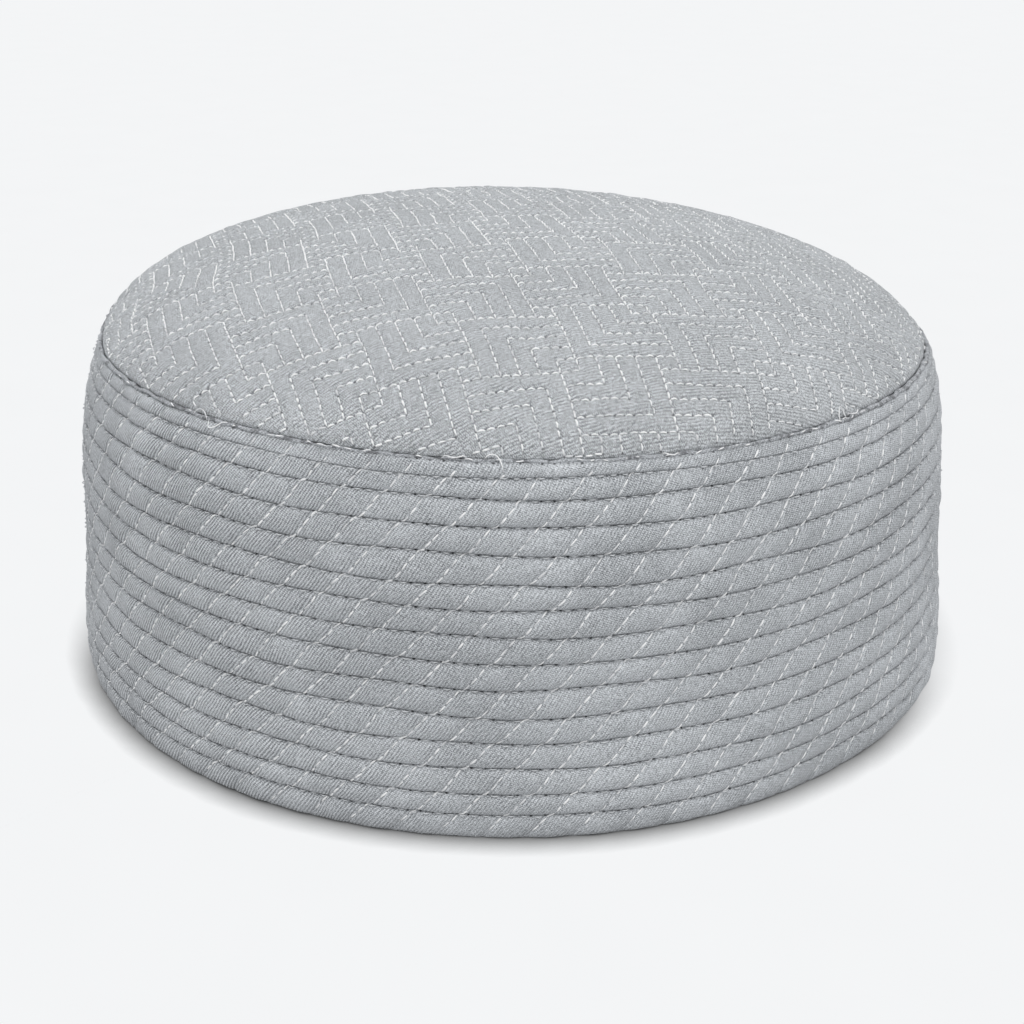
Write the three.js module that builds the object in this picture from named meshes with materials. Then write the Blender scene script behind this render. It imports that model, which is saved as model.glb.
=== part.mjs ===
import * as THREE from "three";

// A quilted round cap, a kufi, that stands open on its rim.
// Millimetres, +Z up, the front towards -Y, the origin at the middle of the rim's underside.

// Driving dimensions
const SEAM_HEIGHT = 69.2;
const CROWN_RISE = 21.8;
const CROWN_RADIUS = 87.6;
const BAND_THICKNESS = 4;
const CROWN_THICKNESS = 3;
const SEWN_GAP = 0.3;

// The seam falls towards +X by this much per millimetre, so the cap is lower on the wearer's left.
const SEAM_FALL = 0.0185;

// The side band over the crests of its ribs: it bulges just above the rim and draws in under the seam.
const WALL = [
  { height: 0, radius: 96.4 },
  { height: 6, radius: 96.6 },
  { height: 12, radius: 96.2 },
  { height: 18, radius: 95.4 },
  { height: 27, radius: 94.5 },
  { height: 42, radius: 93.7 },
  { height: 54, radius: 92.6 },
  { height: 60, radius: 91.6 },
  { height: 66, radius: 89.9 },
  { height: SEAM_HEIGHT, radius: 88.7 },
];

// Heights of the stitched rows. A padded rib stands between each two, and the turned-in edge tops the last.
const STITCH_ROWS = [4.9, 9.1, 13.9, 18.8, 23.9, 29.2, 34.1, 39, 43.8, 48.4, 53.7, 58.7, 63.4, 66.9];
const GROOVE_DEPTH = 1;
const RIB_FULLNESS = 0.6;
const RIB_STEPS = 4;

// The dome's section is a superellipse, nearly flat in the middle and steep where it meets the seam.
const DOME_WIDTH_POWER = 2.1;
const DOME_HEIGHT_POWER = 1.65;
const DOME_STEPS = 12;
const INNER_DOME_STEPS = 10;

// Facets round the cap, and the height of each step of the smooth inside.
const SIDES = 56;
const INNER_WALL_STEP = 11;

const CLOTH = { roughness: 0.95, metalness: 0 };
const BAND_COLOUR = "#a3a6aa";
const CROWN_COLOUR = "#b5b8bb";

function crestRadius(height) {
  const above = WALL.findIndex((row, i) => i > 0 && row.height >= height);
  const upper = WALL[above];
  const lower = WALL[above - 1];
  const share = (height - lower.height) / (upper.height - lower.height);
  return THREE.MathUtils.lerp(lower.radius, upper.radius, share);
}

// One rib from its lower stitched row up to, and without, its upper one.
function ribPoints(bottom, top) {
  const points = [];
  for (let step = 0; step < RIB_STEPS; step += 1) {
    const share = step / RIB_STEPS;
    const height = THREE.MathUtils.lerp(bottom, top, share);
    const swell = Math.sin(Math.PI * share) ** RIB_FULLNESS;
    points.push(new THREE.Vector2(crestRadius(height) - GROOVE_DEPTH * (1 - swell), height));
  }
  return points;
}

// The lean of the seam grows with height, so that the rim stays flat on its surface.
function leanToSeam(geometry) {
  const position = geometry.getAttribute("position");
  for (let i = 0; i < position.count; i += 1) {
    const height = position.getZ(i);
    const fall = SEAM_FALL * position.getX(i) * (height / SEAM_HEIGHT);
    position.setZ(i, height - fall);
  }
  geometry.computeVertexNormals();
  return geometry;
}

// A closed profile turned about the upright axis, with Vector2 as radius and height.
function turned(profile) {
  const geometry = new THREE.LatheGeometry(profile, SIDES);
  geometry.rotateX(Math.PI / 2);
  return leanToSeam(geometry);
}

function piece(name, colour, profile) {
  const cloth = new THREE.MeshStandardMaterial({ ...CLOTH, color: colour });
  const mesh = new THREE.Mesh(turned(profile), cloth);
  mesh.name = name;
  return mesh;
}

// Side band: padded wall with its ribs outside and a smooth inside, open at both ends.
function bandProfile() {
  const rowEdges = [0, ...STITCH_ROWS, SEAM_HEIGHT];
  const outside = rowEdges.slice(1).flatMap((top, i) => ribPoints(rowEdges[i], top));
  outside.push(new THREE.Vector2(crestRadius(SEAM_HEIGHT) - GROOVE_DEPTH, SEAM_HEIGHT));
  const inside = [];
  for (let height = SEAM_HEIGHT; height > 0; height -= INNER_WALL_STEP) {
    inside.push(new THREE.Vector2(crestRadius(height) - BAND_THICKNESS, height));
  }
  inside.push(new THREE.Vector2(crestRadius(0) - BAND_THICKNESS, 0));
  return [...outside, ...inside, outside[0].clone()];
}

function domePoint(radius, rise, angle) {
  const across = Math.cos(angle) ** (2 / DOME_WIDTH_POWER);
  const up = Math.sin(angle) ** (2 / DOME_HEIGHT_POWER);
  return new THREE.Vector2(radius * across, SEAM_HEIGHT + SEWN_GAP + rise * up);
}

// Points of a dome's section from its edge to its top, which lies exactly on the axis.
function domeSection(radius, rise, steps) {
  const points = [];
  for (let step = 0; step < steps; step += 1) {
    points.push(domePoint(radius, rise, (step / steps) * (Math.PI / 2)));
  }
  points.push(new THREE.Vector2(0, SEAM_HEIGHT + SEWN_GAP + rise));
  return points;
}

// Crown: quilted disc, domed, sewn to the top of the band along its edge.
function crownProfile() {
  const inside = domeSection(CROWN_RADIUS - CROWN_THICKNESS, CROWN_RISE - CROWN_THICKNESS, INNER_DOME_STEPS);
  const outside = domeSection(CROWN_RADIUS, CROWN_RISE, DOME_STEPS);
  return [...inside.reverse(), ...outside];
}

const kufi = new THREE.Group();
kufi.add(piece("side_band", BAND_COLOUR, bandProfile()));
kufi.add(piece("crown", CROWN_COLOUR, crownProfile()));

export default kufi;
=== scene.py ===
import math

import bpy
import numpy as np
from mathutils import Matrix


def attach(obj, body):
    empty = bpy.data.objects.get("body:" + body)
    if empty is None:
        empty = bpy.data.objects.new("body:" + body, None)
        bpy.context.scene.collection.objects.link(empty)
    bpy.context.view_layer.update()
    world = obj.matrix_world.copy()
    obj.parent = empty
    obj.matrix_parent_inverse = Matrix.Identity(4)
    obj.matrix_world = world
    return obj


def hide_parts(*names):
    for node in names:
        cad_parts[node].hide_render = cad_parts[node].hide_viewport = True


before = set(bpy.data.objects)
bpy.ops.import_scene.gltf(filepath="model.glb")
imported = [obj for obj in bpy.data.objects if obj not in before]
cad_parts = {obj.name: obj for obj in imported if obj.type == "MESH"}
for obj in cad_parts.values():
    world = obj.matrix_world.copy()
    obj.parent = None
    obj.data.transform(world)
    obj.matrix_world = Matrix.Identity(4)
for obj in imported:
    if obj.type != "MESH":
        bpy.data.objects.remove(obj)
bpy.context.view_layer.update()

# Camera: it stands in front of the cap, an arm's length away and 23 degrees above the table.
# Its lens is a short telephoto, and it looks at the middle of the cap.
bpy.ops.object.camera_add(location=(0, -0.3318, 0.1654), rotation=(math.radians(66.68), 0, 0))
camera = bpy.context.object
camera.name = "camera"
camera.data.sensor_width = 36
camera.data.lens = 55.35
bpy.context.scene.camera = camera

# Side band: the upright wall, one strip of light grey cotton twill over a soft cord under each rib.
# Rows of stitches draw the cloth in between the cords, slanting rows of running stitches pinch the
# ribs, the lower edge is a rolled hem, and the upper edge is turned in under the crown.
MM = 0.001
seam_height = 69.2
seam_fall = 0.0185
seam_radius = 88
row_heights = np.array([
    0, 4.9, 9.1, 13.9, 18.8, 23.9, 29.2, 34.1, 39, 43.8, 48.4, 53.7, 58.7, 63.4, 66.9, seam_height,
])
row_wander = np.array([0, 0.2] + [0.22] * 11 + [0.2, 0.12, 0])
rib_count = len(row_heights) - 1
usual_rib = 4.9
usual_depth = 1.15
rib_depth = np.array([1.0] + [usual_depth] * 13 + [0.6])
wall_thickness = 4
wall_heights = [-9, 0, 6, 12, 18, 27, 42, 54, 60, 66, 69.2, 78.2]
wall_radii = [96, 96.4, 96.6, 96.2, 95.4, 94.5, 93.7, 92.6, 91.6, 89.9, 88.7, 85.3]
height_step = 0.5
evened_over = 13
fine_heights = np.arange(-9, 78.5, height_step)
fine_radii = np.interp(fine_heights, wall_heights, wall_radii)
even_radii = np.convolve(fine_radii, np.ones(evened_over) / evened_over, "valid")
even_heights = np.arange(len(even_radii)) * height_step - 6
map_radius = 94
slant_lines = 73
slant_run = 1.015
first_slant = 0.022
slant_scatter = np.random.default_rng(5).normal(0, 0.25, slant_lines)
full_turn = 2 * math.pi


def soft_waves(angle, height, seed, turns, rise, count=12):
    """Sines that close up round the cap, added to a gentle unevenness of about 1 either way."""
    draw = np.random.default_rng(seed)
    total = np.zeros(np.broadcast(angle, height).shape)
    for _ in range(count):
        whole = draw.integers(*turns)
        tilt = draw.uniform(-rise, rise)
        total += np.sin(whole * angle + tilt * height + draw.uniform(0, full_turn))
    return total * math.sqrt(2 / count)


def crest_radius(height):
    return np.interp(height, even_heights, even_radii)


def rib_swell(share):
    """0 in the groove under or over a rib, 1 along its crest."""
    return np.sqrt(1 - np.abs(2 * share - 1) ** 2.6)


fine_shares = np.linspace(0, 1, 401)
fine_steps = np.hypot(np.diff(fine_shares) * usual_rib, np.diff(rib_swell(fine_shares)) * usual_depth)
cloth_shares = np.concatenate([[0], np.cumsum(fine_steps)])
cloth_per_rib = cloth_shares[-1]
cloth_shares /= cloth_per_rib


def row_height(row, angle):
    """Height of a stitched row, which wanders a little round the cap."""
    height = row_heights[row].astype(float)
    for number in range(1, rib_count):
        here = row == number
        sway = soft_waves(angle[here], 0, 40 + number, (2, 16), 0, 7)
        height[here] += row_wander[number] * sway
    return height


def rib_place(rib):
    """Splits a rib coordinate, such as 3.5 for the crest of the fourth rib, in its rib and share."""
    low = np.clip(np.floor(rib).astype(int), 0, rib_count - 1)
    return low, np.clip(rib - low, 0, 1)


def cloth_rise(rib):
    """Height that the slanting rows have gained, which follows the cloth over each rib."""
    low, share = rib_place(rib)
    return row_heights[low] + np.diff(row_heights)[low] * np.interp(share, fine_shares, cloth_shares)


def slant_angle(line, rib):
    """Angle round the cap, from the front towards +X, of a slanting row, or of a place between two."""
    rise = cloth_rise(rib)
    even = full_turn * line / slant_lines + slant_run * rise / map_radius + first_slant
    before = np.floor(line).astype(int)
    part = line - before
    scatter_before = slant_scatter[before % slant_lines]
    scatter_after = slant_scatter[(before + 1) % slant_lines]
    scatter = (1 - part) * scatter_before + part * scatter_after
    sway = 0.25 * soft_waves(even, rise, 7, (6, 40), 0.15) + scatter
    return even + sway / map_radius


slim_left = 1.8
slim_right = 1.3
tuck_left = 0.5
tuck_right = 0.2


def eased_between(value, low, high):
    """0 up to low, 1 from high on, and an even slope between them."""
    share = np.clip((value - low) / (high - low), 0, 1)
    return share ** 2 * (3 - 2 * share)


def slimmer_behind(angle, height):
    """Millimetres by which the top of the cap is slimmer behind its sides than in front of them."""
    turned = np.degrees(np.arctan2(np.sin(angle), np.cos(angle)))
    on_left = eased_between(-turned, 63, 85)
    on_right = eased_between(turned, 75, 95)
    behind = eased_between(np.abs(turned), 150, 180)
    beside = np.maximum(slim_left * on_left, slim_right * on_right)
    slimmer = beside * (1 - behind) + (slim_left + slim_right) / 2 * behind
    under_seam = eased_between(height, 48, 66) * (1 - eased_between(height, 69, 70.2))
    tucked = under_seam * (tuck_left * on_left + tuck_right * on_right) * (1 - behind)
    return slimmer * np.clip(height / seam_height, 0, 1) ** 6 + tucked


def on_cap(angle, radius, height):
    """Metres in the frame from an angle and millimetres, with the lean of the seam."""
    radius = radius - slimmer_behind(angle, height) * np.minimum(radius / seam_radius, 1)
    x = radius * np.sin(angle)
    y = -radius * np.cos(angle)
    z = height - seam_fall * x * height / seam_height
    return np.stack([x, y, z], axis=-1) * MM


row_stitches = 249
row_offset = np.random.default_rng(8).uniform(0, 1, rib_count + 1)


def row_phase(line, rib):
    """Count of stitches along the nearest row, whole numbers at its needle holes."""
    row = np.round(rib).astype(int)
    turns = line / slant_lines + slant_run * cloth_rise(rib) / map_radius / full_turn
    uneven = 0.25 * np.sin(7 * full_turn * turns + row) + 0.2 * np.sin(19 * full_turn * turns + 2 * row)
    return row_stitches * turns + uneven + row_offset[row]


def band_point(line, rib):
    """A place on the outside of the band."""
    line, rib = np.broadcast_arrays(np.asarray(line, float), np.asarray(rib, float))
    low, share = rib_place(rib)
    angle = slant_angle(line, rib)
    bottom = row_height(low, angle)
    height = bottom + (row_height(low + 1, angle) - bottom) * share
    swell = rib_swell(share)
    beside = np.abs(line - np.round(line))
    pinch = 0.3 * np.exp(-(beside / 0.085) ** 2) + 0.14 * (1 - np.sin(np.pi * beside) ** 0.8)
    creases = 0.09 * soft_waves(angle, height, 3, (18, 80), 0.7)
    dents = 0.25 * soft_waves(angle, height, 4, (2, 9), 0.03)
    drawn = rib_depth[low] * (0.87 + 0.13 * np.cos(full_turn * row_phase(line, rib)))
    radius = crest_radius(height) - drawn * (1 - swell) + swell * (creases + dents - pinch)
    return on_cap(angle, radius, height)


def vertex_places(mesh):
    flat = np.empty(len(mesh.vertices) * 3)
    mesh.vertices.foreach_get("co", flat)
    return flat.reshape(-1, 3)


def corner_vertices(mesh):
    numbers = np.empty(len(mesh.loops), dtype=int)
    mesh.loops.foreach_get("vertex_index", numbers)
    return numbers


def one_long(vectors):
    """The same directions, each 1 long."""
    return vectors / np.linalg.norm(vectors, axis=-1, keepdims=True)


def select_edges(piece, test):
    """Leaves the piece in edit mode with only those edges selected whose two ends pass the test."""
    bpy.ops.object.mode_set(mode="OBJECT")
    bpy.context.tool_settings.mesh_select_mode = (False, True, False)
    mesh = piece.data
    ends = np.empty(len(mesh.edges) * 2, dtype=int)
    mesh.edges.foreach_get("vertices", ends)
    places = vertex_places(mesh)[ends.reshape(-1, 2)]
    mesh.vertices.foreach_set("select", np.zeros(len(mesh.vertices), dtype=bool))
    mesh.polygons.foreach_set("select", np.zeros(len(mesh.polygons), dtype=bool))
    mesh.edges.foreach_set("select", test(places[:, 0], places[:, 1]))
    bpy.ops.object.mode_set(mode="EDIT")


def fill_map(mesh, name, values):
    """Gives the mesh a UV map from one pair of values for each corner."""
    layer = mesh.uv_layers.new(name=name)
    layer.uv.foreach_set("vector", np.ascontiguousarray(values, dtype=np.float32).ravel())


column_shares = np.array([0, 0.05, 0.13, 0.29, 0.5, 0.71, 0.87, 0.95])
rib_shares = np.array([0, 0.03, 0.09, 0.21, 0.4, 0.6, 0.79, 0.91, 0.97])
columns = slant_lines * len(column_shares)
lining_rows = rib_count * 2
start_radius = 0.0955
start_height = seam_height * MM

bpy.ops.object.select_all(action="DESELECT")
bpy.ops.mesh.primitive_cylinder_add(
    vertices=columns, radius=start_radius, depth=start_height, end_fill_type="NOTHING",
    location=(0, 0, start_height / 2),
)
band = bpy.context.object
band.name = "band_cloth_wall"
bpy.ops.object.transform_apply(location=True, rotation=True, scale=True)


def upright(a, b):
    return np.abs(a[:, 2] - b[:, 2]) > 1e-6


def along_top(a, b):
    return np.minimum(a[:, 2], b[:, 2]) > start_height - 1e-6


def inner_upright(a, b):
    return upright(a, b) & (np.hypot(a[:, 0], a[:, 1]) < start_radius - 0.001)


def along_rim(a, b):
    return np.maximum(a[:, 2], b[:, 2]) < 1e-6


select_edges(band, upright)
bpy.ops.mesh.subdivide(number_cuts=rib_count - 1)
select_edges(band, upright)
bpy.ops.mesh.subdivide(number_cuts=len(rib_shares) - 1)
select_edges(band, along_top)
bpy.ops.mesh.extrude_region_move()
lining_scale = 1 - wall_thickness * MM / start_radius
bpy.ops.transform.resize(value=(lining_scale, lining_scale, 1), center_override=(0, 0, start_height))
bpy.ops.mesh.extrude_region_move(TRANSFORM_OT_translate={"value": (0, 0, -start_height)})
select_edges(band, inner_upright)
bpy.ops.mesh.subdivide(number_cuts=lining_rows - 1)
select_edges(band, along_rim)
bpy.ops.mesh.bridge_edge_loops()
bpy.ops.mesh.select_all(action="SELECT")
bpy.ops.mesh.normals_make_consistent(inside=False)
bpy.ops.object.mode_set(mode="OBJECT")

start = vertex_places(band.data)
column = np.round(np.arctan2(start[:, 0], -start[:, 1]) / full_turn * columns).astype(int) % columns
outside = np.hypot(start[:, 0], start[:, 1]) > start_radius - 0.001
line = column // len(column_shares) + column_shares[column % len(column_shares)]
outer_row = np.round(start[:, 2] / start_height * rib_count * len(rib_shares)).astype(int)
outer_rib = np.minimum(outer_row // len(rib_shares), rib_count - 1)
outer_share = np.where(outer_row == rib_count * len(rib_shares), 1, rib_shares[outer_row % len(rib_shares)])
lining_rib = start[:, 2] / start_height * rib_count
rib = np.where(outside, outer_rib + outer_share, lining_rib)


def lining_point(line, rib):
    """A place on the smooth inside of the band, which the rows draw in a little."""
    low, share = rib_place(rib)
    angle = slant_angle(line, rib)
    height = row_heights[low] + np.diff(row_heights)[low] * share
    drawn = 0.35 * (1 - rib_swell(share))
    return on_cap(angle, crest_radius(height) - wall_thickness + drawn, height)


shaped = np.where(outside[:, None], band_point(line, rib), lining_point(line, rib))
shaped[(rib == 0), 2] = 0
band.data.vertices.foreach_set("co", shaped.ravel())
bpy.ops.object.shade_smooth()

# A face between the last column and the first counts on past the last, so that no map runs back.
corner_vertex = corner_vertices(band.data)
corner_face = np.repeat(np.arange(len(band.data.polygons)), 4)
corner_line = line[corner_vertex]
face_end = np.maximum.reduceat(corner_line, np.arange(0, len(corner_line), 4))
wraps = (face_end[corner_face] - corner_line) > slant_lines / 2
corner_line = corner_line + slant_lines * wraps
corner_rib = rib[corner_vertex]
cloth_across = (full_turn * corner_line / slant_lines) * map_radius + slant_run * cloth_rise(corner_rib)
cloth_up = cloth_rise(corner_rib) * cloth_per_rib / usual_rib
fill_map(band.data, "cloth", np.stack([cloth_across, cloth_up], axis=-1) * MM)

row_gap = np.abs(corner_rib - np.round(corner_rib)) * usual_rib
row_gap = np.where(outside[corner_vertex], row_gap, usual_rib / 2)
fill_map(band.data, "rows", np.stack([row_phase(corner_line, corner_rib), row_gap], axis=-1))


def add_node(tree, kind, inputs=(), **settings):
    """A node with its settings, and with values or links for some of its inputs by name or number."""
    node = tree.nodes.new("ShaderNode" + kind)
    for name, value in settings.items():
        setattr(node, name, value)
    for socket, value in dict(inputs).items():
        if isinstance(value, bpy.types.NodeSocket):
            tree.links.new(value, node.inputs[socket])
        else:
            node.inputs[socket].default_value = value
    return node


def math_node(tree, operation, *values, clamp=False):
    return add_node(tree, "Math", dict(enumerate(values)), operation=operation, use_clamp=clamp).outputs[0]


def ramp_node(tree, value, low, high, to_low=0, to_high=1):
    """Brings a value smoothly from one range to another."""
    inputs = {"Value": value, "From Min": low, "From Max": high, "To Min": to_low, "To Max": to_high}
    return add_node(tree, "MapRange", inputs, interpolation_type="SMOOTHSTEP").outputs[0]


def new_group(name, inputs, outputs):
    """An empty shader node group with float, vector or colour sockets, and its two end nodes."""
    group = bpy.data.node_groups.new(name, "ShaderNodeTree")
    for socket, kind in inputs.items():
        group.interface.new_socket(name=socket, in_out="INPUT", socket_type="NodeSocket" + kind)
    for socket, kind in outputs.items():
        group.interface.new_socket(name=socket, in_out="OUTPUT", socket_type="NodeSocket" + kind)
    return group, group.nodes.new("NodeGroupInput"), group.nodes.new("NodeGroupOutput")


twill, given, put = new_group(
    "twill weave",
    {
        "Cloth Map": "Vector", "Line Turn": "Float", "Line Pitch": "Float", "Yarn Pitch": "Float",
        "Line Strength": "Float",
    },
    {"Height": "Float", "Tone": "Float"},
)
cloth_place = given.outputs["Cloth Map"]
line_turn = given.outputs["Line Turn"]
turned = add_node(
    twill, "VectorRotate", {"Vector": cloth_place, "Angle": line_turn}, rotation_type="Z_AXIS"
)
turned_parts = add_node(twill, "SeparateXYZ", {0: turned.outputs[0]})
wobble = add_node(
    twill, "TexNoise", {"Vector": cloth_place, "Scale": 260, "Detail": 2}, noise_dimensions="2D"
)
shift = math_node(twill, "MULTIPLY", math_node(twill, "SUBTRACT", wobble.outputs["Fac"], 0.5), 0.9)
across = math_node(twill, "DIVIDE", turned_parts.outputs[1], given.outputs["Line Pitch"])
across = math_node(twill, "ADD", across, shift)
line_wave = math_node(twill, "SINE", math_node(twill, "MULTIPLY", across, full_turn))
line_height = math_node(twill, "MULTIPLY_ADD", line_wave, 0.5, 0.5)
line_number = math_node(twill, "FLOOR", math_node(twill, "ADD", across, 0.25))
yarn = math_node(twill, "DIVIDE", turned_parts.outputs[0], given.outputs["Yarn Pitch"])
yarn = math_node(twill, "MULTIPLY_ADD", line_number, 0.38, yarn)
yarn_wave = math_node(twill, "SINE", math_node(twill, "MULTIPLY", yarn, full_turn))
half_line = math_node(twill, "FLOOR", math_node(twill, "MULTIPLY", across, 3))
yarn_number = math_node(twill, "FLOOR", math_node(twill, "MULTIPLY", yarn, 2))
one_yarn = add_node(twill, "CombineXYZ", {0: half_line, 1: yarn_number})
yarn_shade = add_node(twill, "TexWhiteNoise", {"Vector": one_yarn.outputs[0]}, noise_dimensions="2D")
stretched = add_node(twill, "Mapping", {"Vector": turned.outputs[0], "Scale": (900, 3300, 1)})
streaks = add_node(
    twill, "TexNoise", {"Vector": stretched.outputs[0], "Scale": 1, "Detail": 3, "Roughness": 0.6},
    noise_dimensions="2D",
)
fibres = add_node(
    twill, "TexNoise", {"Vector": cloth_place, "Scale": 6000, "Detail": 2}, noise_dimensions="2D"
)
strength = ramp_node(twill, wobble.outputs["Fac"], 0.3, 0.7, 0.5, 1)
strength = math_node(twill, "MULTIPLY", strength, given.outputs["Line Strength"])
lined = math_node(twill, "MULTIPLY", math_node(twill, "SUBTRACT", line_height, 0.5), strength)
height = math_node(twill, "MULTIPLY_ADD", yarn_wave, 0.2, math_node(twill, "MULTIPLY", lined, 0.8))
height = math_node(twill, "MULTIPLY_ADD", yarn_shade.outputs["Value"], 0.4, height)
height = math_node(twill, "MULTIPLY_ADD", fibres.outputs["Fac"], 0.5, height)
streak_tone = ramp_node(twill, streaks.outputs["Fac"], 0.3, 0.7, -1, 1)
fibre_tone = ramp_node(twill, fibres.outputs["Fac"], 0.3, 0.7, -1, 1)
tone = math_node(twill, "MULTIPLY_ADD", fibre_tone, 0.3, math_node(twill, "MULTIPLY", streak_tone, 0.1))
tone = math_node(twill, "MULTIPLY_ADD", lined, 1.3, tone)
tone = math_node(twill, "MULTIPLY_ADD", yarn_wave, 0.35, tone)
yarn_tone = math_node(twill, "SUBTRACT", yarn_shade.outputs["Value"], 0.5)
tone = math_node(twill, "MULTIPLY_ADD", yarn_tone, 0.95, tone)
twill.links.new(height, put.inputs["Height"])
twill.links.new(tone, put.inputs["Tone"])


def cloth_material(name, pale, deep, line_turn, line_pitch, yarn_pitch, weave_depth, contrast, strongest):
    """Matte twill of light and dark fibres. Its lines show most towards the left, and fade to the right, in
    bumps and in colour; in the colour this is painted light, the ridges catching light that rakes across
    them on the left.
    """
    material = bpy.data.materials.new(name)
    material.use_nodes = True
    tree = material.node_tree
    shader = tree.nodes["Principled BSDF"]
    cloth_map = add_node(tree, "UVMap", uv_map="cloth")
    weave = tree.nodes.new("ShaderNodeGroup")
    weave.node_tree = twill
    tree.links.new(cloth_map.outputs[0], weave.inputs["Cloth Map"])
    weave.inputs["Line Turn"].default_value = line_turn
    weave.inputs["Line Pitch"].default_value = line_pitch
    weave.inputs["Yarn Pitch"].default_value = yarn_pitch
    own_place = add_node(tree, "TexCoord").outputs["Object"]
    to_right = add_node(tree, "SeparateXYZ", {0: own_place}).outputs[0]
    # Painted light: the lines' colour contrast is strongest on the left and fades to the right, standing in
    # for light raking across the ridges there.
    tree.links.new(ramp_node(tree, to_right, -0.06, 0.01, strongest, 0.45), weave.inputs["Line Strength"])
    patches = add_node(tree, "TexNoise", {"Vector": own_place, "Scale": 60, "Detail": 3})
    mixing = math_node(tree, "MULTIPLY_ADD", weave.outputs["Tone"], contrast, 0.52)
    faded = ramp_node(tree, patches.outputs["Fac"], 0.3, 0.7, -0.08, 0.08)
    mixing = math_node(tree, "ADD", mixing, faded, clamp=True)
    colour = add_node(tree, "Mix", {0: mixing, 6: deep, 7: pale}, data_type="RGBA").outputs[2]
    raised = weave.outputs["Height"]
    bump = add_node(tree, "Bump", {"Strength": 1, "Distance": weave_depth, "Height": raised})
    tree.links.new(colour, shader.inputs["Base Color"])
    tree.links.new(bump.outputs[0], shader.inputs["Normal"])
    rough = ramp_node(tree, weave.outputs["Tone"], -1, 1, 0.98, 0.85)
    tree.links.new(rough, shader.inputs["Roughness"])
    shader.inputs["Sheen Weight"].default_value = 0.15
    shader.inputs["Sheen Roughness"].default_value = 0.5
    shader.inputs["Specular IOR Level"].default_value = 0.25
    return material, tree, shader, colour


def darkened(tree, colour, mask, dark):
    """Mixes a dark colour in where the mask is 1."""
    return add_node(tree, "Mix", {0: mask, 6: colour, 7: dark}, data_type="RGBA").outputs[2]


band_turn = map_radius * MM * full_turn
lines_round = 870
band_line_turn = math.radians(57)
band_line_pitch = band_turn * math.sin(band_line_turn) / lines_round
band_cloth, tree, shader, colour = cloth_material(
    "grey band twill", (0.71, 0.735, 0.765, 1), (0.17, 0.18, 0.19, 1), line_turn=-band_line_turn,
    line_pitch=band_line_pitch, yarn_pitch=0.00036, weave_depth=0.00013, contrast=0.58, strongest=1.1,
)
rows_map = add_node(tree, "SeparateXYZ", {0: add_node(tree, "UVMap", uv_map="rows").outputs[0]})
hole_count = math_node(tree, "ADD", rows_map.outputs[0], 0.5)
from_hole = math_node(tree, "SUBTRACT", math_node(tree, "FRACT", hole_count), 0.5)
row_pitch = 2.4
hole_length = 0.32
hole_width = 0.2
hole_x = math_node(tree, "ABSOLUTE", math_node(tree, "MULTIPLY", from_hole, row_pitch / hole_length))
hole_y = math_node(tree, "DIVIDE", rows_map.outputs[1], hole_width)
hole_squares = math_node(tree, "MULTIPLY_ADD", hole_x, hole_x, math_node(tree, "MULTIPLY", hole_y, hole_y))
hole = ramp_node(tree, math_node(tree, "SQRT", hole_squares), 0.5, 1.2, 1, 0)
hole_number = math_node(tree, "FLOOR", hole_count)
one_hole = add_node(tree, "TexWhiteNoise", {"W": hole_number}, noise_dimensions="1D")
hole = math_node(tree, "MULTIPLY", hole, ramp_node(tree, one_hole.outputs["Value"], 0, 1, 0.3, 1))
# Painted shade: the cloth darkens within half a millimetre of each groove between the ribs, where shade
# falls.
sunk = ramp_node(tree, rows_map.outputs[1], 0, 0.5, 0.2, 0)
colour = darkened(tree, colour, sunk, (0.10, 0.105, 0.115, 1))
colour = darkened(tree, colour, hole, (0.025, 0.025, 0.027, 1))
tree.links.new(colour, shader.inputs["Base Color"])
band.data.materials.append(band_cloth)
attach(band, "root")
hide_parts("side_band")

# Crown: the round top, a disc of the same cloth over thin wadding, quilted in nested right angles.
# It domes up over the head, and its edge is eased in and sewn to the top of the band.
crown_radius = 87.6
crown_rise = 21.8
crown_thickness = 3
sewn_gap = 0.3
dome_width_power = 2.1
dome_height_power = 1.65
chart_unit = np.array([3.60, 3.60 * 0.964])
chart_turn = math.radians(14.2)
chart_origin = np.array([-13.16, -61.4])
chart_repeat = 10


def dome_section(radius, rise):
    """Arc length from the top, radius and height along a section of the dome."""
    steepness = np.linspace(math.pi / 2, 0, 3001)
    across = radius * np.abs(np.cos(steepness)) ** (2 / dome_width_power)
    across[0] = 0
    up = seam_height + sewn_gap + rise * np.sin(steepness) ** (2 / dome_height_power)
    arc = np.concatenate([[0], np.cumsum(np.hypot(np.diff(across), np.diff(up)))])
    return arc, across, up


dome_arc, dome_across, dome_up = dome_section(crown_radius, crown_rise)
crown_reach = dome_arc[-1]
even_arc = np.linspace(0, crown_reach, 601)
even_across = np.interp(even_arc, dome_arc, dome_across)
even_up = np.interp(even_arc, dome_arc, dome_up)
slope_across = np.gradient(even_across, even_arc)
slope_up = np.gradient(even_up, even_arc)


def on_dome(flat, lift):
    """Metres in the frame of a place on the flat disc, laid on the dome and lifted off it."""
    reach = np.hypot(flat[..., 0], flat[..., 1])
    angle = np.arctan2(flat[..., 0], -flat[..., 1])
    across = np.interp(reach, even_arc, even_across) - np.interp(reach, even_arc, slope_up) * lift
    up = np.interp(reach, even_arc, even_up) + np.interp(reach, even_arc, slope_across) * lift
    return on_cap(angle, across, up)


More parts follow.
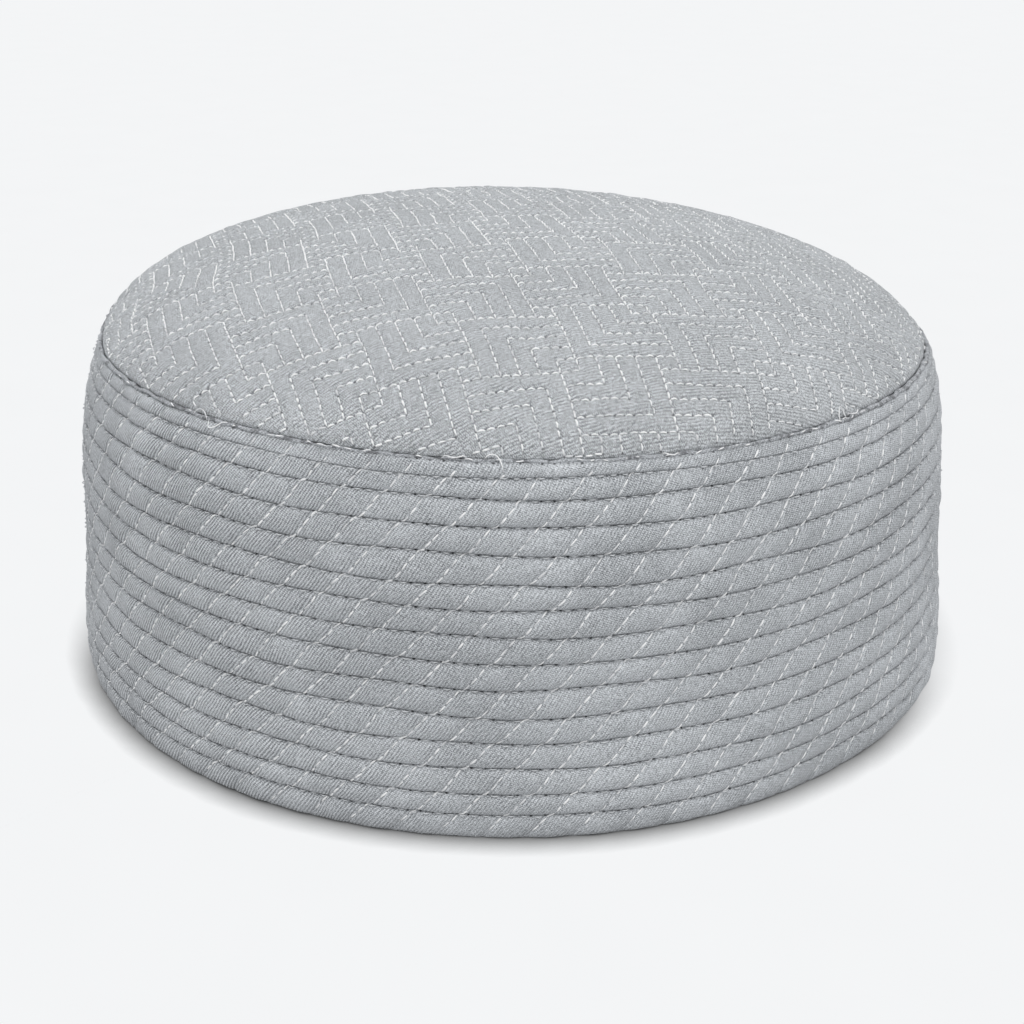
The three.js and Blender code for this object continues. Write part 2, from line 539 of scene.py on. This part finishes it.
# Where the quilting was pulled askew, in millimetres on the flat disc: the place to the right and back
# from the middle, then the pull to the right and back.
quilt_pulls = np.array([
    (-63, -47, -2.3, 2.2),
    (-40, -58, -1.0, 1.4),
    (-30, -48, -1.3, 1.6),
    (-36, -75, 0.6, 1.1),
    (-18, -70, 0.1, 2.5),
    (-17, -56, -0.7, 1.7),
    (-22, -83, 0.1, 0.1),
    (16, -70, 0, 0.1),
    (18, -55, 0.5, -0.2),
    (14, -45, 0, -0.2),
    (28, -81, -0.2, -1.6),
    (39, -71, 0.5, -1.9),
    (37, -59, 2.1, -0.4),
    (47, -60, 1.9, -0.7),
    (29, -42, 0.2, -1.5),
    (28, -25, 2.0, -0.4),
])
pull_width = 12
calm = 0.05


def quilt_pull(flat):
    """Millimetres by which the quilting strays at places on the flat disc."""
    apart = ((flat[..., None, :] - quilt_pulls[:, :2]) ** 2).sum(axis=-1)
    weight = np.exp(-apart / pull_width ** 2)[..., None]
    return (weight * quilt_pulls[:, 2:]).sum(axis=-2) / (weight.sum(axis=-2) + calm)


def chart_to_flat(chart):
    """Millimetres on the flat disc from units of the quilting chart."""
    sized = chart * chart_unit
    x = sized[..., 0] * math.cos(chart_turn) - sized[..., 1] * math.sin(chart_turn)
    y = sized[..., 0] * math.sin(chart_turn) + sized[..., 1] * math.cos(chart_turn)
    even = np.stack([x, y], axis=-1) + chart_origin
    return even + quilt_pull(even)


def flat_to_chart(flat):
    """Units of the quilting chart from millimetres on the flat disc, closed in on step by step."""
    even = flat
    for _ in range(7):
        even = flat - quilt_pull(even)
    moved = even - chart_origin
    x = moved[..., 0] * math.cos(chart_turn) + moved[..., 1] * math.sin(chart_turn)
    y = -moved[..., 0] * math.sin(chart_turn) + moved[..., 1] * math.cos(chart_turn)
    return np.stack([x, y], axis=-1) / chart_unit


def nested_angles():
    """The chart's repeat: four blocks, each of five right angles one inside the other."""
    lines = []
    for k in range(5):
        lines.append([(0, 5 - k), (5 - k, 5 - k), (5 - k, 0)])
        lines.append([(5, 1 + k), (10 - k, 1 + k), (10 - k, 6)])
        lines.append([(6, -k), (1 + k, -k), (1 + k, -5)])
        lines.append([(11, -4 + k), (6 + k, -4 + k), (6 + k, 1)])
    corners = [np.array(line, float) for line in lines]
    return [(line[i], line[i + 1]) for line in corners for i in range(2)]


chart_legs = nested_angles()


def quilt_gap(flat):
    """Distance in millimetres from places on the flat disc to the nearest quilted line."""
    place = flat_to_chart(flat) % chart_repeat
    nearest = np.full(place.shape[:-1], 9.0)
    for start, end in chart_legs:
        low = np.minimum(start, end)
        high = np.maximum(start, end)
        for across in (-chart_repeat, 0, chart_repeat):
            for up in (-chart_repeat, 0, chart_repeat):
                moved = np.array([across, up])
                if np.any(high + moved < -1) or np.any(low + moved > chart_repeat + 1):
                    continue
                beyond = np.maximum(np.maximum(low + moved - place, place - high - moved), 0) * chart_unit
                nearest = np.minimum(nearest, np.hypot(beyond[..., 0], beyond[..., 1]))
    return nearest


quilt_depth = 0.62
puff_reach = 1.75


def crown_lift(flat):
    """How far the padded cloth stands off the plain dome, below 0 where it is sewn down."""
    gap = quilt_gap(flat)
    puff = 1 - (1 - np.minimum(gap / puff_reach, 1)) ** 2.4
    between_holes = np.max(np.sin(full_turn * flat_to_chart(flat)) ** 2, axis=-1)
    sewn = quilt_depth * (1 - 0.5 * between_holes) * (puff - 1)
    reach = np.hypot(flat[..., 0], flat[..., 1])
    angle = np.arctan2(flat[..., 0], -flat[..., 1])
    to_edge = crown_reach - reach
    loose = 1 - np.exp(-to_edge / 1.5)
    eased = np.exp(-to_edge / 5) * 0.22 * soft_waves(angle, 0, 21, (50, 120), 0, 9)
    drawn_in = -0.25 * np.exp(-to_edge / 0.5)
    uneven = 0.07 * soft_waves(flat[..., 0] * 0.2, flat[..., 1], 22, (1, 6), 0.9)
    return loose * (sewn + eased + uneven) + drawn_in


cell_shares = np.array([0, 0.09, 0.25, 0.5, 0.75, 0.91])
units_across = 54
cells_across = units_across * len(cell_shares)
grid_size = units_across * chart_unit[0] * MM
grid_reach = crown_reach - 1.6
edge_steps = [1.05, 0.5, 0.2, 0]
lining_steps = 6
skirt_step = 0.01

bpy.ops.object.select_all(action="DESELECT")
bpy.ops.mesh.primitive_grid_add(x_subdivisions=cells_across, y_subdivisions=cells_across, size=grid_size)
crown = bpy.context.object
crown.name = "crown_cloth_top"


def grid_to_flat(places):
    """Place on the flat disc of a corner of the even grid, which is drawn to the chart's lines."""
    number = np.round((places[:, :2] / grid_size + 0.5) * cells_across).astype(int)
    unit = number // len(cell_shares) + cell_shares[number % len(cell_shares)]
    middle = np.round(flat_to_chart(np.zeros(2)))
    return chart_to_flat(unit - units_across / 2 + middle)


flat = grid_to_flat(vertex_places(crown.data))
corners = corner_vertices(crown.data)
face_middle = flat[corners.reshape(-1, 4)].mean(axis=1)
bpy.context.tool_settings.mesh_select_mode = (False, False, True)
crown.data.vertices.foreach_set("select", np.zeros(len(crown.data.vertices), dtype=bool))
crown.data.edges.foreach_set("select", np.zeros(len(crown.data.edges), dtype=bool))
crown.data.polygons.foreach_set("select", np.hypot(*face_middle.T) > grid_reach)
bpy.ops.object.mode_set(mode="EDIT")
bpy.ops.mesh.delete(type="FACE")
bpy.context.tool_settings.mesh_select_mode = (False, True, False)
bpy.ops.mesh.select_all(action="DESELECT")
bpy.ops.mesh.select_non_manifold(
    extend=False, use_wire=False, use_multi_face=False, use_non_contiguous=False, use_verts=False
)
skirt_rings = len(edge_steps) + lining_steps
for _ in range(skirt_rings + 1):
    bpy.ops.mesh.extrude_region_move(TRANSFORM_OT_translate={"value": (0, 0, -skirt_step)})
bpy.ops.mesh.merge(type="CENTER")
bpy.ops.mesh.select_all(action="SELECT")
bpy.ops.mesh.normals_make_consistent(inside=False)
bpy.ops.object.mode_set(mode="OBJECT")

start = vertex_places(crown.data)
ring = np.round(-start[:, 2] / skirt_step).astype(int)
flat = grid_to_flat(start)
reach = np.hypot(flat[:, 0], flat[:, 1])
edge_ends = np.empty(len(crown.data.edges) * 2, dtype=int)
crown.data.edges.foreach_get("vertices", edge_ends)
edge_ends = edge_ends.reshape(-1, 2)
on_edge = reach > grid_reach
on_edge[edge_ends[np.ptp(ring[edge_ends], axis=1) > 0]] = True
wanted = np.where(on_edge, grid_reach, reach)
for number, step in enumerate(edge_steps, start=1):
    wanted[ring == number] = crown_reach - step
wanted[ring > len(edge_steps)] = crown_reach
flat = flat * (wanted / np.maximum(reach, 1e-9))[:, None]
shaped = on_dome(flat, crown_lift(flat))

inner_radius = crown_radius - crown_thickness
inner_arc, inner_across, inner_up = dome_section(inner_radius, crown_rise - crown_thickness)
depth = np.clip((ring - len(edge_steps) - 1) / lining_steps, 0, 1)
inner_reach = inner_arc[-1] * (1 - depth)
angle = np.arctan2(flat[:, 0], -flat[:, 1])
radius = np.interp(inner_reach, inner_arc, inner_across)
height = np.interp(inner_reach, inner_arc, inner_up)
inside = ring > len(edge_steps)
shaped = np.where(inside[:, None], on_cap(angle, radius, height), shaped)
crown.data.vertices.foreach_set("co", shaped.ravel())
bpy.ops.object.shade_smooth()

corners = corner_vertices(crown.data)
# The twill bends back a little towards the right, where the cloth was pulled.
twill_bend = 0.0028
cloth_flat = flat * (1 - depth)[:, None]
cloth_flat[:, 1] += twill_bend * np.maximum(cloth_flat[:, 0], 0) ** 2
fill_map(crown.data, "cloth", cloth_flat[corners] * MM)
fill_map(crown.data, "quilting", flat_to_chart(flat)[corners])
gap_layer = crown.data.attributes.new("quilt_gap", "FLOAT", "POINT")
gap_layer.data.foreach_set("value", np.where(inside, 2, quilt_gap(flat)).astype(np.float32))

crown_cloth, tree, shader, colour = cloth_material(
    "grey crown twill", (0.69, 0.715, 0.74, 1), (0.23, 0.24, 0.25, 1), line_turn=math.radians(-28),
    line_pitch=0.00065, yarn_pitch=0.00036, weave_depth=0.0002, contrast=1.2, strongest=0.5,
)
quilted = add_node(tree, "Attribute", attribute_name="quilt_gap").outputs["Fac"]
chart_place = add_node(tree, "UVMap", uv_map="quilting").outputs[0]
hole_count = add_node(
    tree, "VectorMath", {0: chart_place, 1: (2, 2, 0), 2: (0.5, 0.5, 0)}, operation="MULTIPLY_ADD"
)
one_hole = add_node(tree, "VectorMath", {0: hole_count.outputs[0]}, operation="FLOOR")
one_hole = add_node(tree, "TexWhiteNoise", {"Vector": one_hole.outputs[0]}, noise_dimensions="2D")
from_hole = add_node(tree, "VectorMath", {0: hole_count.outputs[0]}, operation="FRACTION")
from_hole = add_node(tree, "VectorMath", {0: from_hole.outputs[0], 1: (0.5, 0.5, 0)}, operation="SUBTRACT")
from_hole = add_node(tree, "VectorMath", {0: from_hole.outputs[0], 1: (1.8, 1.73, 0)}, operation="MULTIPLY")
from_hole = add_node(tree, "VectorMath", {0: from_hole.outputs[0]}, operation="LENGTH").outputs["Value"]
hole = math_node(
    tree, "MULTIPLY", ramp_node(tree, from_hole, 0.08, 0.3, 0.7, 0), ramp_node(tree, quilted, 0.1, 0.4, 1, 0)
)
hole = math_node(tree, "MULTIPLY", hole, ramp_node(tree, one_hole.outputs["Value"], 0.1, 1, 0.15, 1))
# Painted shade: the cloth darkens within 0.6 mm of each quilted line, where it dips and shade falls.
sunk = ramp_node(tree, quilted, 0, 0.6, 0.2, 0)
colour = darkened(tree, colour, sunk, (0.15, 0.16, 0.17, 1))
colour = darkened(tree, colour, hole, (0.03, 0.03, 0.033, 1))
tree.links.new(colour, shader.inputs["Base Color"])
crown.data.materials.append(crown_cloth)
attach(crown, "root")
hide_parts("crown")

# Slanting running stitches: off-white thread that climbs the band to the right at about 45 degrees,
# one row after another all the way round. Each stitch lies on the ribs and dives in at both ends.
stitch_sides = 5
stitch_ends = 0.17
stitch_taper = 0.82


def lengthwise(a, b):
    return np.abs(a[:, 0] - b[:, 0]) > 0.01


def thread_form(cuts):
    """Corners and faces of a thread of length 1 along X, one thick, closed to a point at both ends."""
    bpy.ops.object.select_all(action="DESELECT")
    bpy.ops.mesh.primitive_cylinder_add(
        vertices=stitch_sides, radius=0.5, depth=1 - 2 * stitch_ends, end_fill_type="TRIFAN",
        location=(0.5, 0, 0), rotation=(0, math.pi / 2, 0),
    )
    piece = bpy.context.object
    bpy.ops.object.transform_apply(location=True, rotation=True, scale=True)
    select_edges(piece, lengthwise)
    bpy.ops.mesh.subdivide(number_cuts=cuts)
    bpy.ops.object.mode_set(mode="OBJECT")
    places = vertex_places(piece.data)
    outermost = np.abs(places[:, 0] - 0.5) > 0.49 - stitch_ends
    tips = np.hypot(places[:, 1], places[:, 2]) < 0.1
    places[outermost, 1:] *= stitch_taper
    places[tips, 0] = np.round(places[tips, 0])
    faces = [list(face.vertices) for face in piece.data.polygons]
    bpy.data.objects.remove(piece)
    return places, faces


def sew(name, form, sections, normals, width, height, lift, material):
    """Copies of one thread as one mesh, each bent along its own places on the cloth."""
    places, faces = form
    total, parts = sections.shape[:2]
    shares = np.unique(np.round(places[:, 0], 4))
    which = np.abs(places[:, 0][:, None] - shares).argmin(axis=1)
    after = np.minimum(np.arange(parts) + 1, parts - 1)
    before = np.maximum(np.arange(parts) - 1, 0)
    ahead = one_long(sections[:, after] - sections[:, before])
    side = one_long(np.cross(normals, ahead))
    middle = sections + normals * (np.asarray(lift) * MM)[..., None]
    across = (places[:, 1] * MM)[None, :, None] * np.broadcast_to(width, total)[:, None, None]
    upward = (places[:, 2] * MM)[None, :, None] * np.broadcast_to(height, total)[:, None, None]
    corners = middle[:, which] + side[:, which] * across + normals[:, which] * upward
    count = len(places)
    mesh = bpy.data.meshes.new(name)
    all_faces = [[corner + count * n for corner in face] for n in range(total) for face in faces]
    mesh.from_pydata(corners.reshape(-1, 3).tolist(), [], all_faces)
    along = np.tile(places[:, 0], total) + np.repeat(np.arange(total) * 0.37, count)
    round_it = np.tile(np.arctan2(places[:, 1], places[:, 2]) / full_turn, total)
    corner = corner_vertices(mesh)
    fill_map(mesh, "thread", np.stack([along[corner], round_it[corner]], axis=-1))
    mesh.polygons.foreach_set("use_smooth", np.ones(len(mesh.polygons), dtype=bool))
    piece = bpy.data.objects.new(name, mesh)
    bpy.context.scene.collection.objects.link(piece)
    mesh.materials.append(material)
    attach(piece, "root")
    return piece


stitch = thread_form(1)
stitch_sections = np.unique(np.round(stitch[0][:, 0], 4))
stitch_arch = np.array([-0.7, 0.45, 1, 0.45, -0.7])


def thread_material(name, pale, deep, sheen):
    """Twisted sewing thread: two plies show as slanting lights and darks, and it is greyed in places."""
    material = bpy.data.materials.new(name)
    material.use_nodes = True
    tree = material.node_tree
    shader = tree.nodes["Principled BSDF"]
    thread_map = add_node(tree, "SeparateXYZ", {0: add_node(tree, "UVMap", uv_map="thread").outputs[0]})
    round_it = math_node(tree, "MULTIPLY", thread_map.outputs[1], 2)
    ply = math_node(tree, "MULTIPLY_ADD", thread_map.outputs[0], 3, round_it)
    ply = math_node(tree, "SINE", math_node(tree, "MULTIPLY", ply, full_turn))
    own_place = add_node(tree, "TexCoord").outputs["Object"]
    fuzz = add_node(tree, "TexNoise", {"Vector": own_place, "Scale": 900, "Detail": 2})
    mixing = math_node(tree, "MULTIPLY_ADD", ply, 0.18, fuzz.outputs["Fac"], clamp=True)
    colour = add_node(tree, "Mix", {0: mixing, 6: deep, 7: pale}, data_type="RGBA").outputs[2]
    greyed = add_node(tree, "TexNoise", {"Vector": own_place, "Scale": 420, "Detail": 1})
    grey_mask = ramp_node(tree, greyed.outputs["Fac"], 0.42, 0.68, 0, 0.6)
    colour = darkened(tree, colour, grey_mask, (0.5, 0.51, 0.53, 1))
    height = math_node(tree, "MULTIPLY_ADD", ply, 0.5, fuzz.outputs["Fac"])
    bump = add_node(tree, "Bump", {"Strength": 0.7, "Distance": 0.00004, "Height": height})
    tree.links.new(colour, shader.inputs["Base Color"])
    tree.links.new(bump.outputs[0], shader.inputs["Normal"])
    tree.links.new(ramp_node(tree, fuzz.outputs["Fac"], 0.3, 0.7, 0.45, 0.65), shader.inputs["Roughness"])
    shader.inputs["Sheen Weight"].default_value = sheen
    return material


white_thread = thread_material("off-white thread", (0.96, 0.96, 0.955, 1), (0.86, 0.865, 0.87, 1), 0.25)
draw = np.random.default_rng(11)


def band_normals(line, rib):
    """Outward directions on the band, evened over a third of a millimetre."""
    side = band_point(line + 0.03, rib) - band_point(line - 0.03, rib)
    above = band_point(line, np.minimum(rib + 0.07, rib_count))
    up = above - band_point(line, np.maximum(rib - 0.07, 0))
    return one_long(np.cross(side, up))


path_ribs = np.linspace(0.25, rib_count - 0.15, 900)
slant_pitch = 2.03
slant_places = []
for number in range(slant_lines):
    path = band_point(np.full(len(path_ribs), float(number)), path_ribs)
    run = np.concatenate([[0], np.cumsum(np.linalg.norm(np.diff(path, axis=0), axis=1))]) / MM
    starts = np.arange(draw.uniform(0, slant_pitch), run[-1] - slant_pitch, slant_pitch)
    starts = starts + draw.normal(0, 0.07, len(starts))
    lengths = slant_pitch * draw.uniform(0.9, 1.02, len(starts))
    at = starts[:, None] + lengths[:, None] * stitch_sections
    ribs = np.interp(at, run, path_ribs)
    slant_places.append(np.stack([np.full(ribs.shape, float(number)), ribs], axis=-1))
slant_places = np.concatenate(slant_places)
crooked = draw.normal(0, 0.02, (len(slant_places), 1)) * (stitch_sections - 0.5)
lines = slant_places[..., 0] + draw.normal(0, 0.008, (len(slant_places), 1)) + crooked
slant_widths = 0.37 * draw.uniform(0.75, 1.2, len(slant_places))
ribs = slant_places[..., 1]
sew(
    "slanting_stitches", stitch, band_point(lines, ribs), band_normals(lines, ribs),
    slant_widths, 0.6 * slant_widths, 0.1 * stitch_arch, white_thread,
)

# Row stitches: grey thread sunk in the grooves between the ribs, and along the turned-in upper edge.
# It holds the cords in their places, and pulls a small dark hole at each end of a stitch.
grey_thread = thread_material("grey thread", (0.68, 0.695, 0.71, 1), (0.46, 0.475, 0.49, 1), 0.1)
row_places = []
fine_lines = np.linspace(0, slant_lines, 6001)
for row in range(1, rib_count):
    counts = row_phase(fine_lines, np.full(len(fine_lines), float(row)))
    holes = np.arange(math.ceil(counts[0]), math.floor(counts[-1]))
    at = holes[:, None] + 0.2 + 0.6 * stitch_sections
    lines = np.interp(at, counts, fine_lines)
    row_places.append(np.stack([lines, np.full(at.shape, float(row))], axis=-1))
row_places = np.concatenate(row_places)
row_middle = band_point(row_places[..., 0], row_places[..., 1])
level = np.array([1, 1, 0])
outward = one_long(row_middle * level)
row_lift = draw.normal(0.42, 0.17, (len(row_places), 1)) + 0.12 * stitch_arch
sew("row_stitches", stitch, row_middle, outward, 0.26, 0.3, row_lift, grey_thread)

# Quilting stitches: off-white thread along every line of the crown's nested right angles.
# Each stitch rises off the cloth in the middle, and a needle hole falls on every corner.
stitches_per_unit = 2
thin_back = 0.31
thin_aside = 0.38
repeats_out = 4
quilt_flats = []
quilt_widths = []
middle = np.round(flat_to_chart(np.zeros(2)) / chart_repeat).astype(int)
for across in range(-repeats_out, repeats_out + 1):
    for up in range(-repeats_out, repeats_out + 1):
        moved = (middle + np.array([across, up])) * chart_repeat
        for start, end in chart_legs:
            count = round(float(np.abs(end - start).sum()) * stitches_per_unit)
            begins = np.arange(count) / count
            at = begins[:, None] + (0.03 + 0.94 * stitch_sections) / count
            chart = start + moved + at[..., None] * (end - start)
            quilt_flats.append(chart_to_flat(chart))
            goes_back = start[0] == end[0]
            thinnest = thin_back if goes_back else thin_aside
            widths = np.full(count, draw.uniform(thinnest, thinnest + 0.12))
            if not goes_back:
                to_right = quilt_flats[-1][..., 0].mean(axis=1)
                widths = widths * (1 - 0.4 * eased_between(to_right, 40, 70))
            quilt_widths.append(widths)
quilt_flats = np.concatenate(quilt_flats)
quilt_widths = np.concatenate(quilt_widths)
inside = np.hypot(quilt_flats[..., 0], quilt_flats[..., 1]).max(axis=1) < crown_reach - 0.4
quilt_flats = quilt_flats[inside]
quilt_widths = quilt_widths[inside] * draw.uniform(0.85, 1.15, len(quilt_flats))
crooked = draw.normal(0, 0.07, (len(quilt_flats), 1, 2)) * (stitch_sections - 0.5)[:, None]
quilt_flats = quilt_flats + draw.normal(0, 0.05, (len(quilt_flats), 1, 2)) + crooked


def dome_normals(flat):
    ahead = on_dome(flat + np.array([0.2, 0]), 0) - on_dome(flat - np.array([0.2, 0]), 0)
    aside = on_dome(flat + np.array([0, 0.2]), 0) - on_dome(flat - np.array([0, 0.2]), 0)
    return one_long(np.cross(ahead, aside))


sew(
    "quilting_stitches", stitch, on_dome(quilt_flats, crown_lift(quilt_flats)), dome_normals(quilt_flats),
    quilt_widths, 0.7 * quilt_widths, 0.13 * stitch_arch, white_thread,
)

# Seam: the raw edges of crown and band, turned in together as a thin roll, and the stitches that
# hold them. The thread shows here and there along the dark gap, whose darkness is painted shade on the
# roll, and a few ends of it stand loose.
roll_thickness = 0.42
roll_segments = 1080
bpy.ops.object.select_all(action="DESELECT")
bpy.ops.mesh.primitive_torus_add(
    major_segments=roll_segments, minor_segments=8,
    major_radius=seam_radius * MM, minor_radius=roll_thickness * MM,
)
roll = bpy.context.object
roll.name = "seam_roll"
start = vertex_places(roll.data)
angle = np.arctan2(start[:, 0], -start[:, 1])
off_middle = np.hypot(start[:, 0], start[:, 1]) / MM - seam_radius
above_middle = start[:, 2] / MM


def roll_shown(angle):
    """1 where the roll stands out over the seam, at the sides and the back, 0 where it is sunk."""
    return 1 / (1 + np.exp(-(np.abs(np.degrees(angle) - 6) - 30) / 5))


def roll_place(angle):
    """Radius and height of the middle of the roll."""
    shown = roll_shown(angle)
    radius = 87.62 + 0.38 * shown + 0.12 * soft_waves(angle, 0, 31, (60, 220), 0, 12)
    height = 69.22 + 0.3 * shown + 0.1 * soft_waves(angle, 0, 32, (40, 260), 0, 12)
    return radius, height


radius, height = roll_place(angle)
frayed = 1 + 0.16 * soft_waves(angle, above_middle, 33, (150, 420), 3, 14)
start = on_cap(angle, radius + off_middle * frayed, height + above_middle * frayed)
roll.data.vertices.foreach_set("co", start.ravel())
bpy.ops.object.shade_smooth()
corners = corner_vertices(roll.data)
turn_round = np.arctan2(above_middle, off_middle)[corners]
roll_cloth_place = np.stack([angle[corners] * seam_radius, turn_round * roll_thickness], axis=-1)
fill_map(roll.data, "cloth", roll_cloth_place * MM)
roll_cloth, tree, shader, colour = cloth_material(
    "turned-in cloth edge", (0.62, 0.64, 0.67, 1), (0.16, 0.17, 0.18, 1), line_turn=math.radians(-50),
    line_pitch=0.0006, yarn_pitch=0.0004, weave_depth=0.00013, contrast=0.5, strongest=0.6,
)
own_place = add_node(tree, "TexCoord").outputs["Object"]
# Painted shade: patches of the roll darken nearly to black, standing in for the shade down in the seam's
# gap.
painted_gap_shade_noise = add_node(tree, "TexNoise", {"Vector": own_place, "Scale": 700, "Detail": 2})
painted_gap_shade_mask = ramp_node(tree, painted_gap_shade_noise.outputs["Fac"], 0.5, 0.62, 0, 0.6)
colour = darkened(tree, colour, painted_gap_shade_mask, (0.05, 0.05, 0.055, 1))
tree.links.new(colour, shader.inputs["Base Color"])
roll.data.materials.append(roll_cloth)
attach(roll, "root")

seam_pitch = 2.6
seam_count = round(full_turn * seam_radius / seam_pitch)
begins = np.arange(seam_count) + draw.uniform(-0.25, 0.25, seam_count)
off_front = np.abs((begins * full_turn / seam_count + math.pi) % full_turn - math.pi)
share_shown = np.where(off_front < 0.8, 0.6, 0.15)
begins = begins[draw.uniform(0, 1, seam_count) < share_shown]
lengths = draw.uniform(0.25, 0.75, len(begins))
at = (begins[:, None] + lengths[:, None] * stitch_sections) * full_turn / seam_count
radius, height = roll_place(at)
tilt = draw.normal(0, 0.16, (len(begins), 1)) * (stitch_sections - 0.5)
lean = draw.normal(0.12, 0.16, (len(begins), 1))
seam_outward = np.stack([np.sin(at) * 0.8, -np.cos(at) * 0.8, np.full(at.shape, 0.6)], axis=-1)
sew(
    "seam_stitches", stitch, on_cap(at, radius, height + tilt), seam_outward,
    0.26, 0.24, roll_thickness - 0.14 + lean + 0.12 * stitch_arch, white_thread,
)

# Each loose end: its angle, then millimetres along the seam, up over the crown or down, and outward.
loose_ends = [
    (-38.5, [(-2.4, -0.2, 0.1), (-1.4, 0.9, 0.5), (0, 1.3, 0.7), (1.2, 0.6, 0.6), (1.8, -0.4, 0.2)]),
    (-36.2, [(-1.6, 0.4, 0.2), (-0.9, -0.6, 0.6), (0.2, -0.9, 0.8), (1.4, -0.2, 0.5), (1.7, 0.5, 0.1)]),
    (-6.4, [(-2.2, 0, 0.1), (-1, 0.6, 0.4), (0.4, 0.4, 0.4), (1.6, 0.7, 0.5), (2.6, 0, 0.2)]),
    (-1.6, [(-2.4, 0, 0.1), (-1.5, 1, 0.4), (-0.4, 1.1, 0.5), (0.6, 0, 0.6), (1.2, -1.9, 0.4)]),
    (17.5, [(-1.5, 0.2, 0.1), (-0.6, 0.5, 0.3), (0.5, 0.1, 0.4), (1.4, 0.3, 0.3), (2.1, -0.1, 0.1)]),
    (42.5, [(-1.2, -0.2, 0.2), (-1, 1.2, 0.5), (-0.3, 2.6, 0.5), (0.2, 1.4, 0.7), (0.8, -0.3, 0.3)]),
    (44.5, [(-1.8, 0.2, 0.1), (-0.9, 0.8, 0.5), (0.4, 0.5, 0.7), (1.5, 0.9, 0.5), (2.2, 0.1, 0.2)]),
    (131, [(-1.6, 0, 0.1), (-0.8, 0.9, 0.4), (0.4, 1, 0.5), (1.3, 0.2, 0.4), (1.6, -0.8, 0.2)]),
    (-157, [(-2, 0.1, 0.1), (-1, 0.6, 0.4), (0.1, 0.2, 0.5), (1.1, 0.7, 0.4), (2, 0, 0.1)]),
]
long_thread = thread_form(13)
thread_sections = np.unique(np.round(long_thread[0][:, 0], 4))
seam_steps = [-3, -2.3, -1.2, 0, 1, 2, 4]
seam_radii = [89.6, 89.2, 89.3, 88.2, 87.6, 87.3, 86.4]
seam_heights = [66.2, 66.9, 68, 69.4, 70.2, 71.2, 73]
loose_places = []
for degrees, points in loose_ends:
    points = np.array(points, float)
    stops = np.linspace(0, 1, len(points))
    smooth = np.polynomial.polynomial.polyfit(stops, points, len(points) - 1)
    along, up, out = np.polynomial.polynomial.polyval(thread_sections, smooth)
    angle = math.radians(degrees) + along / seam_radius
    radius = np.interp(up, seam_steps, seam_radii) + 0.85 * out
    height = np.interp(up, seam_steps, seam_heights) + 0.5 * out
    loose_places.append(on_cap(angle, radius, height))
loose_places = np.array(loose_places)
loose_outward = one_long(loose_places * level)
sew("loose_threads", long_thread, loose_places, loose_outward, 0.2, 0.2, 0, white_thread)

# Floor: the plain pale table that the cap stands on. It looks evenly bright, as on a light table,
# with a shadow only along the narrow gap under the rim, faint at the cap's two sides, and it throws
# less light back at the cap than it shows.
bpy.ops.object.select_all(action="DESELECT")
bpy.ops.mesh.primitive_plane_add(size=12, location=(0, 0, 0))
floor = bpy.context.object
floor.name = "floor"
floor_paper = bpy.data.materials.new("pale table")
floor_paper.use_nodes = True
tree = floor_paper.node_tree
tree.nodes.remove(tree.nodes["Principled BSDF"])
near = add_node(tree, "AmbientOcclusion", {"Distance": 0.0056}, samples=12)
gap_light = add_node(tree, "Gamma", {"Color": near.outputs["Color"], "Gamma": 1.7})
own_place = add_node(tree, "TexCoord").outputs["Object"]
grain = add_node(tree, "TexNoise", {"Vector": own_place, "Scale": 40, "Detail": 2})
pale_papers = {6: (0.895, 0.905, 0.915, 1), 7: (0.91, 0.92, 0.93, 1)}
paper = add_node(tree, "Mix", {0: grain.outputs["Fac"], **pale_papers}, data_type="RGBA").outputs[2]
floor_parts = add_node(tree, "SeparateXYZ", {0: own_place})
from_side = math_node(tree, "MULTIPLY_ADD", floor_parts.outputs[0], 0.15, floor_parts.outputs[1])
shaded = ramp_node(tree, math_node(tree, "ABSOLUTE", from_side), 0.015, 0.06, 0.25, 1)
lit = add_node(
    tree, "Mix", {0: shaded, 6: paper, 7: gap_light.outputs[0]}, data_type="RGBA", blend_type="MULTIPLY"
).outputs[2]
seen = add_node(tree, "LightPath").outputs["Is Camera Ray"]
glow = add_node(tree, "Emission", {"Color": lit, "Strength": ramp_node(tree, seen, 0, 1, 0.8, 1)})
tree.links.new(glow.outputs[0], tree.nodes["Material Output"].inputs["Surface"])
floor.data.materials.append(floor_paper)

# Light: a white room that lights the cap softly from all round, and one broad lamp over it.
world = bpy.data.worlds.new("white room")
bpy.context.scene.world = world
world.use_nodes = True
tree = world.node_tree
seen = add_node(tree, "LightPath").outputs["Is Camera Ray"]
tree.links.new(ramp_node(tree, seen, 0, 1, 0.77, 0.91), tree.nodes["Background"].inputs["Strength"])
tree.nodes["Background"].inputs["Color"].default_value = (0.98, 0.99, 1, 1)
bpy.ops.object.light_add(type="AREA", location=(0.1, -0.5, 1.4))
lamp = bpy.context.object
lamp.name = "broad lamp"
lamp.data.shape = "DISK"
lamp.data.size = 1.2
lamp.data.energy = 10.8
lamp.rotation_euler = (math.radians(20), math.radians(4), 0)
bpy.context.scene.view_settings.view_transform = "Standard"
